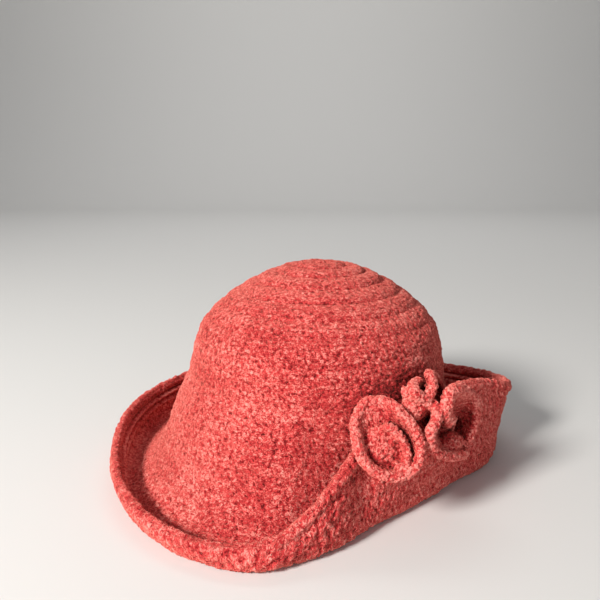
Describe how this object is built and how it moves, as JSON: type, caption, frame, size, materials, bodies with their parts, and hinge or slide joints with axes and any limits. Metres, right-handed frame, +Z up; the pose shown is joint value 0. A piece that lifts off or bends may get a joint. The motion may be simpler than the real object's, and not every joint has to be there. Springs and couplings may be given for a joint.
{
  "type": "cloche hat",
  "caption": "Cloche hat crocheted in coral red chenille yarn, brim turned up on the wearer's left under a rolled rosette and a ruffled crochet flower",
  "frame": {"origin": "middle of the whole hat's bounding box, on the floor under the brim", "axes": "+Z up, -Y the front of the hat, +X the wearer's left where the brim is turned up"},
  "size_m": [0.309, 0.3428, 0.167],
  "materials": {
    "chenille": "velvety chenille crochet, matte",
    "flower_chenille": "velvety chenille crochet, matte"
  },
  "bodies": {
    "root": {"crown_and_brim": "chenille", "rolled_rosette": "flower_chenille", "ruffled_flower": "flower_chenille"}
  },
  "joints": []
}
